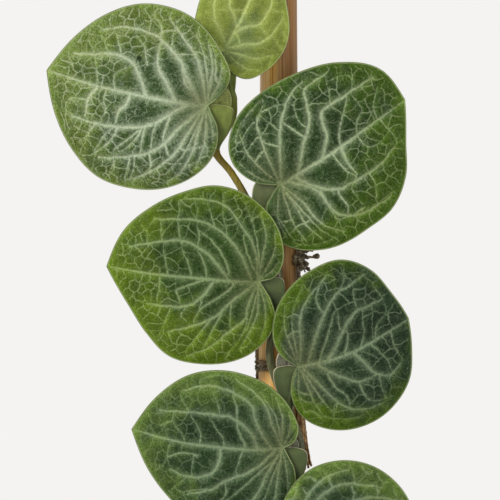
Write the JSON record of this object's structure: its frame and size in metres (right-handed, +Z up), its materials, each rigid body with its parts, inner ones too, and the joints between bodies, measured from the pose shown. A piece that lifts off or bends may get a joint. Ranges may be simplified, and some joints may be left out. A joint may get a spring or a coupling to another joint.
{
  "type": "potted shingle plant",
  "caption": "Climbing aroid with round heart-shaped leaves, veined in silver, shingled along a bamboo cane in a plain nursery pot.",
  "frame": {"origin": "centre of the pot's flat base, on the surface it stands on", "axes": "+Z up along the cane; the leaves face -Y, which is the front; +X is to the right seen from the front"},
  "size_m": [0.1574, 0.129, 0.5],
  "materials": {
    "pot": "moulded, satin, terracotta colour",
    "soil": "moist potting mix of peat and bark",
    "cane": "dry bamboo, satin, with long fibres",
    "stem": "smooth green stem, satin",
    "leaf": "velvety dark green with a silvery net of veins",
    "young_leaf": "soft light green, faint veins",
    "roots": "dry brown root, rough"
  },
  "bodies": {
    "root": {"pot": "pot", "soil": "soil", "cane": "cane", "stem": "stem", "leaf_01": "leaf", "leaf_02": "leaf", "leaf_03": "leaf", "leaf_04": "leaf", "leaf_05": "leaf", "leaf_06": "leaf", "leaf_07": "leaf", "leaf_08": "leaf", "leaf_09": "leaf", "leaf_10": "leaf", "leaf_11": "young_leaf", "rolled_leaf": "young_leaf", "aerial_roots_1": "roots", "aerial_roots_2": "roots", "aerial_roots_3": "roots", "aerial_roots_4": "roots", "aerial_roots_5": "roots"}
  },
  "joints": []
}
